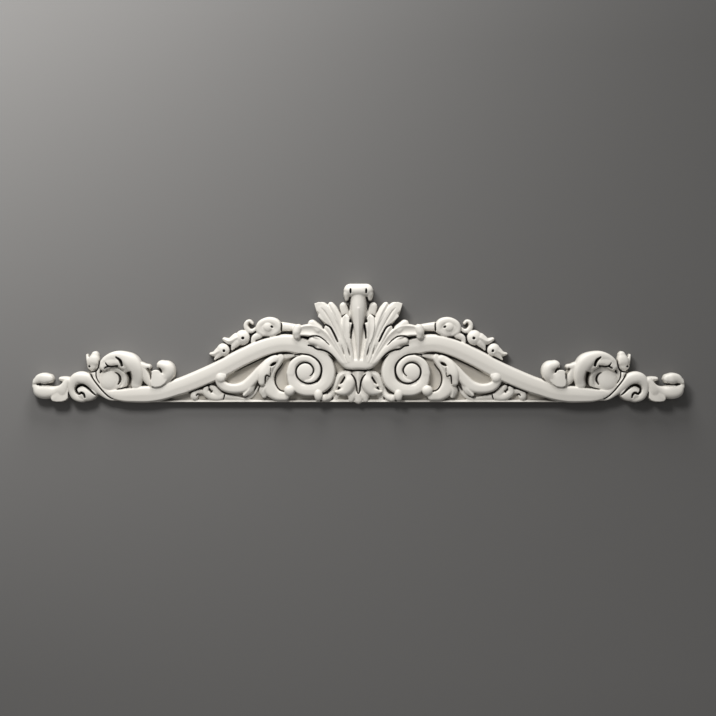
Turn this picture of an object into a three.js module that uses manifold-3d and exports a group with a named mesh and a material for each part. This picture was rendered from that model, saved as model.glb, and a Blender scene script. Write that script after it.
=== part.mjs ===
// A cast overdoor applique: a palmette between two volutes, whose ramps run out to curled leaf ends.
// Millimetres, +Z up. The flat back lies in the plane y = 0 and the carving stands towards -Y.
import * as THREE from 'three';
import { mergeVertices } from 'three/addons/utils/BufferGeometryUtils.js';
import Module from 'manifold-3d';

const wasm = await Module();
wasm.setup();

// Driving dimensions. Carving is laid out in mm out from the centre line and mm up from the lower edge.
const LENGTH = 1200;
const HALF_LENGTH = LENGTH / 2;
const MOUNT_HEIGHT = 60;
const PLATE_DEPTH = 8;
const BED_DEPTH = 9;
const LIP_DEPTH = 10;
const LIP_HEIGHT = 2.6;
const PLATE_HALF_LENGTH = 382;
const BAND_DEPTH = 24;
const CUP_DEPTH = 24;
const STEM_DEPTH = 38;
const CURL_DEPTH = 42;
const TONGUE_DEPTH = 23;
const PIT_FLOOR = 6;
const PIT_CLEARANCE = 4;
const PIT_TAPER = 0.35;
const PIT_FLARE = 1.3;
const SHORT_EDGE = 1.2;
const CLOSING_PASSES = 4;
const LEAST_TURN = 0.7;
const LEAST_AREA = 0.001;
const SAME_PLACE = 1e-4;
const CAP_REACH = 0.88;
const CAP_WIDTH = 0.5;
const PAINT = { color: 0xdedad0, roughness: 0.55, metalness: 0 };

// Sections across a carved form: places from one edge (-1) to the other (1), and how far the surface
// has dropped below the crest there, as a share of the roll at the edges.
const ROUND = { places: [-1, -0.5, 0.5, 1], drops: [1, 0.1, 0.1, 1], wideRoll: 0.8, highRoll: 0.5 };
const RIDGE = { places: [-1, 0, 1], drops: [1, 0, 1], wideRoll: 0.7, highRoll: 0.4 };
const HOLLOW = { places: [-0.9, 0, 0.9], drops: [0, 0.8, 0], wideRoll: 0.5, highRoll: 0.3 };
const BAND = { places: [-1, -0.8, 0.25, 1], drops: [0.75, 0.1, 0, 1], wideRoll: 0.6, highRoll: 0.34 };

// A value part of the way along a list, where 0 is the first and 1 the last.
function along(list, share) {
  const place = share * (list.length - 1);
  const low = Math.min(Math.floor(place), list.length - 2);
  return list[low] + (list[low + 1] - list[low]) * (place - low);
}

// One ring of a carved form across its path: the two base corners, and the section between them.
function ring(centre, side, half, crest, section) {
  const roll = Math.min(half * section.wideRoll, crest * section.highRoll);
  const at = (offset, depth) => {
    return new THREE.Vector3(centre.x + side.x * offset, -depth, centre.z + side.z * offset);
  };
  const top = section.places.map((place, i) => at(place * half, crest - roll * section.drops[i]));
  return [at(-half, 0), ...top, at(half, 0)];
}

// Closed mesh over a row of rings with the same number of points, with a fan over each end.
function skin(rings) {
  const count = rings[0].length;
  const points = rings.flat();
  const index = [];
  for (let i = 0; i + 1 < rings.length; i++) {
    for (let j = 0; j < count; j++) {
      const a = i * count + j;
      const b = i * count + ((j + 1) % count);
      index.push(a, a + count, b, b, a + count, b + count);
    }
  }
  for (const [start, turned] of [[0, true], [(rings.length - 1) * count, false]]) {
    const middle = points.length;
    const end = points.slice(start, start + count);
    points.push(end.reduce((sum, p) => sum.add(p), new THREE.Vector3()).divideScalar(count));
    for (let j = 0; j < count; j++) {
      const pair = [start + j, start + ((j + 1) % count)];
      index.push(...(turned ? [middle, pair[0], pair[1]] : [middle, pair[1], pair[0]]));
    }
  }
  const geometry = new THREE.BufferGeometry().setFromPoints(points);
  geometry.setIndex(index);
  return geometry;
}

function solid(geometry) {
  const bare = geometry.clone();
  bare.deleteAttribute('normal');
  bare.deleteAttribute('uv');
  const merged = mergeVertices(bare, SAME_PLACE);
  const vertProperties = new Float32Array(merged.attributes.position.array);
  const triVerts = new Uint32Array(merged.index.array);
  return new wasm.Manifold(new wasm.Mesh({ numProp: 3, vertProperties, triVerts }));
}

// A carved form along a smooth path. Each station is [out, up, half width, crest depth]. The last end
// is a blunt tip, and so is the first one where it is free and not buried in another form.
function stroke(stations, { section = ROUND, spans = 1, free = false } = {}) {
  const curve = new THREE.CatmullRomCurve3(stations.map(([out, up]) => new THREE.Vector3(out, 0, up)));
  const halves = stations.map((s) => s[2]);
  const crests = stations.map((s) => s[3]);
  const steps = (stations.length - 1) * spans;
  const rings = [];
  const add = (share, shift, wide) => {
    const centre = curve.getPoint(share);
    const tangent = curve.getTangent(share);
    centre.addScaledVector(tangent, shift);
    const half = along(halves, share) * wide;
    const crest = along(crests, share) - (1 - wide) * Math.min(along(halves, share) * 0.5, 5);
    const side = new THREE.Vector3(-tangent.z, 0, tangent.x);
    rings.push(ring(centre, side, half, crest, section));
  };
  if (free) add(0, -halves[0] * CAP_REACH, CAP_WIDTH);
  for (let i = 0; i <= steps; i++) add(i / steps, 0, 1);
  add(1, halves[halves.length - 1] * CAP_REACH, CAP_WIDTH);
  return solid(skin(rings));
}

// A domed boss, round or oval, with upright sides down to the back.
function boss(out, up, halfWide, halfHigh, crest, sides = 10) {
  const roll = Math.min(halfWide * 0.5, crest * 0.4);
  const profile = [[0, 0], [1, 0], [1, crest - roll], [0.55, crest], [0, crest]];
  const geometry = new THREE.LatheGeometry(profile.map(([r, d]) => new THREE.Vector2(r, d)), sides);
  geometry.scale(halfWide, 1, halfHigh);
  geometry.rotateX(Math.PI);
  geometry.translate(out, 0, up);
  return solid(geometry);
}

// A flat-faced body with the given outline, from the back plane to its depth.
function slab(outline, depth) {
  const shape = new THREE.Shape(outline.map(([out, up]) => new THREE.Vector2(out, up)));
  const geometry = new THREE.ExtrudeGeometry(shape, { depth, bevelEnabled: false });
  geometry.rotateX(Math.PI / 2);
  return solid(geometry);
}

// A small drilled eye, an oval cone that narrows from above the crest down to the pit's floor.
function pit(out, up, halfWide, halfHigh, turn, crest) {
  const mouth = crest + PIT_CLEARANCE;
  const profile = [[0, PIT_FLOOR], [PIT_TAPER, PIT_FLOOR], [PIT_FLARE, mouth], [0, mouth]];
  const geometry = new THREE.LatheGeometry(profile.map(([r, d]) => new THREE.Vector2(r, d)), 6);
  geometry.scale(halfWide, 1, halfHigh);
  geometry.rotateX(Math.PI);
  geometry.rotateY(THREE.MathUtils.degToRad(turn));
  geometry.translate(out, 0, up);
  return solid(geometry);
}

function mirrored(piece) {
  const mesh = piece.getMesh();
  const vertProperties = mesh.vertProperties.map((value, i) => (i % 3 === 0 ? -value : value));
  const triVerts = mesh.triVerts.slice().reverse();
  return new wasm.Manifold(new wasm.Mesh({ numProp: 3, vertProperties, triVerts }));
}

function union(pieces) {
  return pieces.reduce((sum, piece) => sum.add(piece));
}

function ridge(stations, free = false) {
  return stroke(stations, { section: RIDGE, free });
}

function hollow(stations) {
  return stroke(stations, { section: HOLLOW });
}

// The ramp: a moulded band that rises from the outer scroll to the top of the volute.
const RAMP = [
  [458, 16, 5, 22], [430, 13, 11.7, 24], [392, 14.5, 15, 24], [364, 18, 14, 24], [337, 26.3, 15, 24],
  [300, 40.5, 15.8, 24], [263, 57, 16.2, 24], [212, 83, 16.5, 24], [183, 97, 16.5, 24],
  [160, 104.5, 16.5, 24],
  [138, 108, 16.5, 24], [118, 107, 16.5, 24], [99, 101, 16, 24], [82, 93, 15, 24],
];

// The volute winds in from the end of the ramp. Each station is [radius, half width], an even step of
// the turn after the last one.
const VOLUTE = { out: 99, up: 55.5, start: 114, step: 60 };
const OUTER_TURN = [[41.2, 15], [43.9, 13], [41.5, 11.4], [34.5, 10], [28, 8.8], [25, 8]];
const INNER_TURN = [[25, 8], [25.2, 6.6], [24.9, 5.9], [24.6, 5.5], [22.6, 5.4], [17.5, 3.5]];

function voluteTurn(stations, startAngle) {
  return stations.map(([radius, half], i) => {
    const angle = THREE.MathUtils.degToRad(startAngle + i * VOLUTE.step);
    return [VOLUTE.out + radius * Math.cos(angle), VOLUTE.up + radius * Math.sin(angle), half, BAND_DEPTH];
  });
}

function bandAndVolute() {
  const innerStart = VOLUTE.start + (OUTER_TURN.length - 1) * VOLUTE.step;
  return [
    stroke(RAMP, { section: BAND, free: true }),
    stroke(voluteTurn(OUTER_TURN, VOLUTE.start), { section: BAND, spans: 2 }),
    stroke(voluteTurn(INNER_TURN, innerStart), { spans: 2 }),
    boss(VOLUTE.out, VOLUTE.up, 15, 15, 27, 10),
  ];
}

// The outer scroll: a low disc at the end of the ramp, and the big leaf that folds over it.
function outerScroll() {
  return [
    boss(457, 40, 18.5, 20, 23, 10),
    ridge([[462, 18, 4, 20], [476, 37, 3, 18], [476, 62, 6, 20]]),
    ridge([[459, 61, 5.5, 22], [443, 61, 6, 22], [430, 52, 6, 22], [429, 37, 6, 20], [443, 26, 3, 17]]),
    stroke([[410, 31, 8.5, 24], [408, 52, 11.5, 29], [416, 73, 14, 34], [433, 83, 11, 33],
      [452, 83, 8.5, 32], [470, 69, 5.5, 27]], { free: true }),
    ridge([[441, 84, 6.5, 30], [448, 69, 5, 24]]),
    stroke([[463, 76, 6, 30], [467, 61, 4.5, 24]]),
    stroke([[424, 75, 8.5, 31], [426, 54, 4, 24]]),
    ridge([[400, 67, 7, 24], [381, 66, 4, 22]]),
    ridge([[395, 61, 5.5, 24], [390, 46, 8, 22], [375, 32, 4.5, 20]]),
    stroke([[372, 34, 7, 24], [359, 41, 10.5, 27], [350, 52, 12, 30], [350, 63, 11, 31],
      [359, 69, 8, 30]], { free: true }),
    ridge([[370, 31, 6.5, 26], [373, 43, 8.5, 27], [372, 55, 6.5, 26]], true),
  ];
}

// The tip of the applique: an arched stem with a curled end, a forked tail and a bud above it.
function outerLeaves() {
  return [
    ridge([[457, 6, 2, 19], [473, 18, 5, 23], [488, 33, 9, 27], [501, 43, 11.5, 30], [515, 44, 11, 30],
      [524, 35, 9, 28], [526, 23, 6.5, 26], [520, 11, 6, 25], [508, 7, 5.5, 24], [498, 9, 5, 24]]),
    boss(493.5, 15, 10, 10.5, 25, 8),
    stroke([[526, 40, 6, 24], [547, 43, 3.5, 20]]),
    ridge([[529, 42, 7, 27], [544, 27, 6, 26], [558, 19, 8, 25], [574, 17, 11.5, 26],
      [HALF_LENGTH - 12, 21, 9.5, 26], [HALF_LENGTH - 6, 31, 5, 24], [HALF_LENGTH - 13, 42, 7, 28],
      [573, 44, 9, 30], [564, 44, 6, 28]]),
    stroke([[530, 36, 6, 26], [542, 20, 7.5, 25], [553, 10, 8, 24], [560, 5, 4.5, 22]]),
    stroke([[487, 56, 5.5, 20], [476, 35, 3, 19], [467, 25, 1.5, 18]]),
    ridge([[489, 59, 7.5, 20], [486, 70, 11, 23], [484, 86, 7, 22]], true),
    ridge([[492, 69, 5, 21], [499, 87, 1.5, 17]]),
  ];
}

// The leafwork that lies on the upper edge of the ramp: a rolled leaf and two buds.
function upperLeaves() {
  return [
    ridge([[146, 139, 8, 17], [108, 136, 5.5, 17]]),
    stroke([[170, 126, 5, 22], [182, 131, 6, 23], [181, 144, 6, 24], [167, 149, 6, 25],
      [152, 145, 7, 25]]),
    ridge([[155, 147, 7, 25], [148, 136, 7, 24], [158, 127, 6, 23], [170, 126, 5, 22]]),
    boss(167.5, 138, 7.5, 6.5, 27, 6),
    ridge([[185, 137, 4, 18], [195, 131, 3.5, 18], [204, 134, 4.5, 19], [206, 144, 3.5, 19],
      [199, 149, 2.5, 18]]),
    ridge([[175, 125, 7, 22], [191, 118, 5.5, 21], [194, 111, 3.5, 20]]),
    boss(213, 118.5, 13.5, 14, 24, 8),
    ridge([[219, 121, 9, 23], [237, 112, 6, 21], [247, 116, 3, 18]]),
    stroke([[218, 114, 8, 22], [232, 97, 3, 18]]),
    boss(248.5, 96, 12, 12, 23, 8),
    ridge([[253, 96, 7.5, 22], [265, 89, 4.5, 20], [272, 89, 2, 18]]),
    ridge([[251, 92, 6.5, 21], [264, 79, 2.5, 18]]),
  ];
}

// The leaves under the ramp, from the volute out to the small curl at the plate's end.
function innerLeaves() {
  return [
    hollow([[149, 82, 5, 19], [178, 61, 8, 22], [193, 43, 9.5, 22], [212, 28, 9.5, 22],
      [240, 27, 8.5, 22], [255, 40, 7, 24]]),
    ridge([[194, 42, 6.5, 20], [201, 23, 7.5, 22], [209, 14, 3.5, 21]]),
    ridge([[157, 80, 6, 23], [173, 64, 9.5, 26], [179, 48, 8.5, 27], [178, 35, 4.5, 24]]),
    hollow([[145, 79, 8, 20], [155, 58, 9, 21], [164, 36, 10, 20], [156, 16, 11, 18], [134, 11, 7, 23]]),
    ridge([[164, 34, 8, 20], [174, 21, 8.5, 20], [173, 12, 4.5, 18]]),
    boss(126.5, 21.5, 9.5, 9.5, 28, 7),
    ridge([[252, 12, 7, 14], [226, 8, 3.5, 13], [207, 6.5, 2.5, 13], [189, 20, 2.5, 12]]),
    stroke([[249, 11, 7, 16], [273, 14, 5.5, 16], [280, 25, 4, 17]], { free: true }),
    ridge([[255, 12, 7.5, 16], [270, 28, 4, 15]]),
    ridge([[278, 18, 4.5, 15], [296, 18, 5, 16], [303, 14, 5, 16], [301, 8, 4, 15]]),
    ridge([[43, 44, 2.5, 14], [49, 19, 4, 15], [54, 11, 6, 18], [66, 9, 7, 22]]),
    boss(73.5, 13.5, 7.5, 10.5, 27, 7),
  ];
}

// The pendant under the cup, one of its two facing leaves.
function pendantLeaf() {
  return [
    ridge([[20, 54, 5, 19], [34, 47, 6.5, 20], [42, 28, 5, 17], [46, 13, 3, 14]]),
    ridge([[18, 54, 6, 22], [16, 41, 9.5, 25], [18, 31, 11.5, 25], [26, 21, 8, 24], [40, 19, 3, 19]]),
    ridge([[22, 32, 6, 22], [35, 30, 2, 18]]),
    stroke([[11, 35, 6, 20], [11, 22, 8, 18], [13, 6, 6, 17]]),
  ];
}

// The lobes on one side of the palmette, from beside the stem down to the lowest one.
function palmetteLobes() {
  return [
    hollow([[24, 155, 7, 24], [28, 178, 6.5, 27]]),
    stroke([[11, 84, 2.5, 28], [18, 110, 4.5, 30], [22.5, 134, 7.5, 32], [23.6, 154, 6.5, 31]]),
    ridge([[19, 132, 5, 30], [13.5, 143, 2.5, 29]]),
    ridge([[18, 90, 3, 27], [29, 125, 5, 28], [39, 158, 5.5, 30], [49.5, 178, 4.5, 30]]),
    hollow([[23, 86, 3, 27], [37, 124, 7, 28], [53, 156, 13, 30], [70, 177, 10.5, 31]]),
    ridge([[60, 154, 6, 29], [71, 157, 3, 27]]),
    ridge([[29, 84, 3, 27], [43, 113, 5.5, 28], [56.5, 135, 5, 29]]),
    hollow([[33, 82, 3, 27], [55, 111, 8, 29], [66, 122, 10, 30], [80, 130, 11, 31], [108, 131, 9, 31]]),
    ridge([[76, 134, 7, 30], [86, 146, 6, 28]]),
    stroke([[112, 136, 6.5, 33], [113, 121, 6, 31]], { free: true }),
    hollow([[33, 76, 4, 27], [55, 100, 8, 29], [66, 107, 8.5, 29], [84, 112, 6, 28]]),
    ridge([[60, 101, 4.5, 28], [71, 101, 3.5, 27]]),
    stroke([[16, 206, 9, 39], [20.5, 198, 6.5, 38], [21.5, 190, 3, 34]]),
  ];
}

// The middle of the palmette and the pendant, which lie on the centre line.
function centrePieces() {
  const cup = [[0, 61], [15, 61], [25.7, 63], [31.4, 67.7], [43, 81], [54, 92], [65, 97.7], [60, 106],
    [37, 111.5], [14, 116.7]];
  const mirror = cup.slice(1).reverse().map(([out, up]) => [-out, up]);
  return [
    slab([...cup, ...mirror], CUP_DEPTH),
    stroke([[0, 82, 2, 27], [0, 127, 6.4, 30], [0, 153, 10.9, 34], [0, 178, 13.5, STEM_DEPTH],
      [0, 200, 14.2, STEM_DEPTH]]),
    stroke([[-15, 206, 11.5, 40], [0, 206, 11.5, CURL_DEPTH], [15, 206, 11.5, 40]], { free: true }),
    ridge([[0, 56, 12, TONGUE_DEPTH], [0, 39.3, 3.6, TONGUE_DEPTH], [0, 18, 1.7, 20]]),
    stroke([[0, 14, 8, 18], [0, 6, 8, 17]]),
  ];
}

// Low beds behind the close-set carving outside the plate, which tie its forms together at the back.
const BEDS = [
  [[395, 20], [400, 62], [412, 82], [435, 90], [458, 86], [476, 68], [480, 42], [470, 24], [450, 12]],
  [[486, 24], [482, 48], [492, 62], [500, 52], [520, 52], [534, 40], [530, 18], [518, 6], [500, 4], [488, 8]],
  [[140, 134], [148, 146], [168, 152], [184, 144], [186, 128], [170, 122], [152, 124]],
  [[204, 104], [212, 130], [232, 112], [252, 107], [262, 84], [250, 72]],
  [[0, 100], [9, 150], [28, 160], [24, 116], [40, 140], [50, 150], [40, 114], [58, 122], [90, 140],
    [110, 136], [108, 120], [80, 112], [50, 84]],
  [[340, 44], [345, 66], [362, 72], [372, 44], [386, 62], [404, 60], [404, 20], [360, 20]],
];

function beds() {
  return BEDS.map((outline) => slab(outline, BED_DEPTH));
}

// The flat plate that the carving grows from, under the ramps, with a low lip along its bottom edge.
function plate() {
  const top = RAMP.filter(([out]) => out < PLATE_HALF_LENGTH).map(([out, up]) => [out, up]);
  const half = [[PLATE_HALF_LENGTH, 0], [PLATE_HALF_LENGTH, 10], ...top, [30, 104]];
  const mirror = half.slice().reverse().map(([out, up]) => [-out, up]);
  const end = PLATE_HALF_LENGTH;
  const lip = [[-end, 0], [end, 0], [end, LIP_HEIGHT], [-end, LIP_HEIGHT]];
  return [slab([...half, ...mirror], PLATE_DEPTH), slab(lip, LIP_DEPTH)];
}

// Drilled eyes in the buds and curls: [out, up, half width, half height, turn, crest].
const EYES = [
  [493.7, 65.6, 1.9, 1.9, 0, 23],
  [211.9, 117.7, 2.3, 2.3, 0, 24],
  [246.7, 94.4, 2, 2, 0, 23],
  [155.9, 70.1, 1.8, 4.8, 60, 24],
  [25.2, 44.5, 2, 4.3, 0, 25],
  [14.3, 203, 1.4, 4.6, 0, 42],
];

function applique() {
  const half = union([
    ...bandAndVolute(),
    ...outerScroll(),
    ...outerLeaves(),
    ...upperLeaves(),
    ...innerLeaves(),
    ...pendantLeaf(),
    ...palmetteLobes(),
    ...beds(),
  ]);
  const pits = union(EYES.map((eye) => pit(...eye)));
  const whole = union([half, mirrored(half), ...centrePieces(), ...plate()]);
  return whole.subtract(pits).subtract(mirrored(pits));
}

// The triangles around each point of a mesh.
function trianglesByPoint(points, triangles) {
  const around = points.map(() => new Set());
  triangles.forEach((corners, t) => corners.forEach((corner) => around[corner].add(t)));
  return around;
}

function faceNormal(corners, points) {
  return new THREE.Triangle(...corners.map((corner) => points[corner])).getNormal(new THREE.Vector3());
}

// Whether point b can be drawn into point a at the given place: the two share just two neighbours,
// and no face around them turns over.
function canClose(a, b, place, points, triangles, around) {
  const neighbours = (point) => new Set([...around[point]].flatMap((t) => triangles[t]));
  const shared = [...neighbours(a)].filter((point) => point !== a && point !== b && neighbours(b).has(point));
  if (shared.length !== 2) return false;
  const kept = [...around[a], ...around[b]].filter((t) => !(around[a].has(t) && around[b].has(t)));
  return kept.every((t) => {
    const moved = triangles[t].map((corner) => (corner === a || corner === b ? place : points[corner]));
    const triangle = new THREE.Triangle(...moved);
    const turned = triangle.getNormal(new THREE.Vector3()).dot(faceNormal(triangles[t], points));
    return turned > LEAST_TURN && triangle.getArea() > LEAST_AREA;
  });
}

// Draws together the points of edges too short to see, which the joins leave behind. Points on the
// flat back are only drawn together with each other.
function closeShortEdges(geometry) {
  const place = geometry.attributes.position;
  const order = geometry.index;
  const points = [];
  for (let i = 0; i < place.count; i++) points.push(new THREE.Vector3().fromBufferAttribute(place, i));
  const triangles = [];
  for (let i = 0; i < order.count; i += 3) triangles.push([0, 1, 2].map((corner) => order.getX(i + corner)));
  const around = trianglesByPoint(points, triangles);
  const onBack = points.map((point) => Math.abs(point.y) < SAME_PLACE);
  for (let pass = 0; pass < CLOSING_PASSES; pass++) {
    for (let t = 0; t < triangles.length; t++) {
      for (let k = 0; k < 3; k++) {
        const [a, b] = [triangles[t][k], triangles[t][(k + 1) % 3]];
        const long = points[a].distanceTo(points[b]) > SHORT_EDGE;
        if (long || !around[a].has(t) || onBack[a] !== onBack[b]) continue;
        const middle = points[a].clone().lerp(points[b], 0.5);
        if (!canClose(a, b, middle, points, triangles, around)) continue;
        const gone = [...around[b]].filter((other) => around[a].has(other));
        gone.forEach((other) => triangles[other].forEach((corner) => around[corner].delete(other)));
        for (const other of around[b]) {
          triangles[other] = triangles[other].map((corner) => (corner === b ? a : corner));
          around[a].add(other);
        }
        around[b].clear();
        points[a].copy(middle);
        break;
      }
    }
  }
  const kept = triangles.filter((corners, t) => around[corners[0]].has(t));
  const closed = new THREE.BufferGeometry().setFromPoints(kept.flat().map((corner) => points[corner]));
  return mergeVertices(closed, SAME_PLACE);
}

const carved = applique().getMesh();
const joined = new THREE.BufferGeometry();
joined.setAttribute('position', new THREE.BufferAttribute(carved.vertProperties, 3));
joined.setIndex(new THREE.BufferAttribute(carved.triVerts, 1));
const geometry = closeShortEdges(joined);
geometry.translate(0, 0, -MOUNT_HEIGHT);

const piece = new THREE.Mesh(geometry, new THREE.MeshStandardMaterial(PAINT));
piece.name = 'applique';

const group = new THREE.Group();
group.add(piece);
export default group;
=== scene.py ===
# %% [markdown]
# This lesson models a cast polyurethane ornament for the wall over a door: a palmette in the middle, two
# volutes with ramps that run down to curled leaf ends, all on one flat back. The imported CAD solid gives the
# size and the place. It is loaded first, and its box is kept, so that the finished casting can be held to it.

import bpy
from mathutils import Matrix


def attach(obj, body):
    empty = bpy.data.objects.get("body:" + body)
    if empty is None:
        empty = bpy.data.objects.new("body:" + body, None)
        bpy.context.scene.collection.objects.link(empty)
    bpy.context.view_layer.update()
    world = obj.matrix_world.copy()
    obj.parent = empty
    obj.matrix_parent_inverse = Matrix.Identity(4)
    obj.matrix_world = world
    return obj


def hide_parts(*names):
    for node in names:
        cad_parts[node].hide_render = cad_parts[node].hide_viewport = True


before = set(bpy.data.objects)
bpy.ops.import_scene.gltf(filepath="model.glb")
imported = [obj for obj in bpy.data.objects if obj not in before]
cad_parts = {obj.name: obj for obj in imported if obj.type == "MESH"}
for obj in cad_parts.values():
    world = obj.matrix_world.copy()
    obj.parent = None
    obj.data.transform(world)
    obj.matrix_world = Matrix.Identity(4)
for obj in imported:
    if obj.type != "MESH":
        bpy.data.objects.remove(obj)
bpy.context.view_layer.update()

# %% [markdown]
# All sizes are written in millimetres, as on a carver's drawing: how far out from the centre line, how high
# above the lower edge of the plate, how wide a form is to each side, and how far its crest stands off the
# wall. The frame's own origin is on the back, 60 mm above that lower edge.

# %% Units and small helpers
import math

import bpy
import numpy as np

MM = 0.001
MOUNT_UP = 60.0
BEHIND = 0.5


def place(out, up, depth=0.0):
    return (out * MM, -depth * MM, (up - MOUNT_UP) * MM)


def start_clean():
    if bpy.context.object and bpy.context.object.mode != "OBJECT":
        bpy.ops.object.mode_set(mode="OBJECT")
    bpy.ops.object.select_all(action="DESELECT")


def select_only(form):
    start_clean()
    form.select_set(True)
    bpy.context.view_layer.objects.active = form


def edit_all():
    bpy.ops.object.mode_set(mode="EDIT")
    bpy.ops.mesh.select_all(action="SELECT")


def press_back(depth=-BEHIND):
    """Extrudes the selected sheet and presses the new faces flat, so the sheet becomes a solid."""
    bpy.ops.mesh.extrude_region_move()
    bpy.ops.transform.resize(value=(1, 0, 1), center_override=(0, -depth * MM, 0))
    bpy.ops.object.mode_set(mode="OBJECT")


def bake_place(form):
    select_only(form)
    bpy.ops.object.transform_apply(location=True, rotation=True, scale=True)


def read_all(items, key, width=3, kind=float):
    """One row of values for every point, edge or face."""
    values = np.zeros(len(items) * width, kind)
    items.foreach_get(key, values)
    return values.reshape(-1, width)


print("a point on the tip of the stem:", place(0, 200, 38))

# %% [markdown]
# Carved leafwork is a family of strokes: each one follows a line, swells and tapers, and ends in a soft
# point. A stroke could be a bevelled curve, but its width and its height need to change apart from each
# other. So each stroke starts as a flat grid with one row for each step along the line and one column for
# each step across it. The points are laid along the path, and the sheet is extruded back to the wall.

# %% Cross sections of the carver's gouges
ACROSS = 15
PLACES = np.linspace(-1, 1, ACROSS)


def profile(rule, wide_roll, high_roll):
    return {"drops": rule(PLACES), "wide_roll": wide_roll, "high_roll": high_roll}


def dome_rule(v):
    return (1 - np.sqrt(1 - 0.94 * v * v)) / 0.755


def ridge_rule(v):
    return 0.9 * np.abs(v) ** 1.15 + 0.1 * np.abs(v) ** 8


def scoop_rule(v):
    inside = 0.55 * (1 - (v / 0.76) ** 2)
    outside = ((np.abs(v) - 0.76) / 0.24) ** 2
    return np.where(np.abs(v) < 0.76, inside, outside)


def flat_rule(v):
    return 0.12 * v ** 2 + 0.88 * np.abs(v) ** 6


def ramp_rule(v):
    marks = [-1, -0.93, -0.8, -0.55, -0.3, 0.0, 0.12, 0.3, 0.55, 0.74, 0.82, 0.9, 0.96, 1]
    drops = [1, 0.36, 0.11, 0.05, 0.01, 0.0, 0.01, 0.07, 0.14, 0.19, 0.22, 0.21, 0.4, 1]
    return np.interp(v, marks, drops)


def face_rule(v):
    return 0.34 * v ** 2 + 0.66 * np.abs(v) ** 5


ROUND = profile(dome_rule, 0.72, 0.4)
FACE = profile(face_rule, 0.52, 0.27)
RIDGE = profile(ridge_rule, 0.6, 0.34)
SCOOP = profile(scoop_rule, 0.42, 0.22)
FLAT = profile(flat_rule, 0.42, 0.2)
RAMP_FACE = profile(ramp_rule, 0.5, 0.34)
print("sections with", ACROSS, "points across")

# %% [markdown]
# A smooth line through a few marked stations is what a carver draws with a thin bent batten. Blender's own
# curves could draw it, but here the same line also carries the width and the crest from station to station.

# %% Lines through the stations


def batten(stations, step):
    """Points along a smooth line through the stations: out, up, half width, crest."""
    marks = np.array(stations, float)
    spans = np.linalg.norm(np.diff(marks[:, :2], axis=0), axis=1)
    knots = np.concatenate([[0], np.cumsum(np.sqrt(spans))])
    if len(marks) > 2:
        slopes = np.gradient(marks, knots, axis=0)
    else:
        slopes = np.repeat(np.diff(marks, axis=0) / knots[1], 2, axis=0)
    rows = []
    for i, span in enumerate(spans):
        count = max(2, math.ceil(span / step))
        t = np.linspace(0, 1, count, endpoint=False)[:, None]
        width = knots[i + 1] - knots[i]
        rows.append((2 * t ** 3 - 3 * t ** 2 + 1) * marks[i] + (t ** 3 - 2 * t ** 2 + t) * width * slopes[i]
                    + (3 * t ** 2 - 2 * t ** 3) * marks[i + 1] + (t ** 3 - t ** 2) * width * slopes[i + 1])
    rows.append(marks[-1:])
    return np.concatenate(rows)


def unit_runs(line):
    """The direction of the line at each of its points, with length one."""
    runs = np.gradient(line[:, :2], axis=0)
    return runs / (np.linalg.norm(runs, axis=1)[:, None] + 1e-9)


print("points on a trial line:", len(batten([(0, 0, 1, 1), (30, 10, 2, 2), (60, 0, 1, 1)], 2.0)))

# %% [markdown]
# At its two ends a stroke narrows along a quarter circle and drops off, as a gouge leaves it. Its foot is
# 1.1 mm wider on each side than its face, the draft that lets a casting leave its mould.

# %% Rows across a stroke
STEP = 2.0
END_ANGLES = [18, 36, 54, 70, 84]
END_REACH = 0.98
END_WIDTH = 0.1
LEAST_HALF = 0.4
DRAFT = 1.1


def rows_across(stations, section):
    """Rows of points (out, up, depth) over a stroke, with both ends rounded and its foot at the back."""
    line = batten(stations, STEP)
    runs = unit_runs(line)
    sheet = []

    def lay(row, run, ahead, narrow, sunk=0.0, foot=False):
        half = max(row[2], LEAST_HALF)
        crest = row[3]
        roll = min(half * section["wide_roll"], crest * section["high_roll"])
        side = np.array([-run[1], run[0]])
        middle = row[:2] + run * (ahead * half + (DRAFT if foot else 0) * np.sign(ahead))
        top = crest - roll * (section["drops"] * (1 - 0.5 * sunk) + sunk)
        spread = PLACES * half * narrow
        spread = np.concatenate([[spread[0] - DRAFT], spread, [spread[-1] + DRAFT]])
        top = np.concatenate([[0], top, [0]]) * (0 if foot else 1)
        points = middle + side * spread[:, None]
        sheet.append(np.column_stack([points, np.maximum(top, 0)]))

    lay(line[0], runs[0], -END_REACH, END_WIDTH, 1, True)
    for angle in reversed(END_ANGLES):
        turn = math.radians(angle)
        lay(line[0], runs[0], -math.sin(turn), math.cos(turn), 1 - math.cos(turn))
    for row, run in zip(line, runs):
        lay(row, run, 0, 1)
    for angle in END_ANGLES:
        turn = math.radians(angle)
        lay(line[-1], runs[-1], math.sin(turn), math.cos(turn), 1 - math.cos(turn))
    lay(line[-1], runs[-1], END_REACH, END_WIDTH, 1, True)
    return np.array(sheet)


print("rows over a trial stroke:", rows_across([(0, 0, 4, 20), (30, 0, 4, 20)], FACE).shape)

# %% [markdown]
# A grid primitive has its points in rows and columns already, so each one only needs its new place. The
# sheet is then extruded back to the wall in edit mode, which gives the stroke its sides.

# %% Sheets and strokes
casting_forms = []


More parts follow.
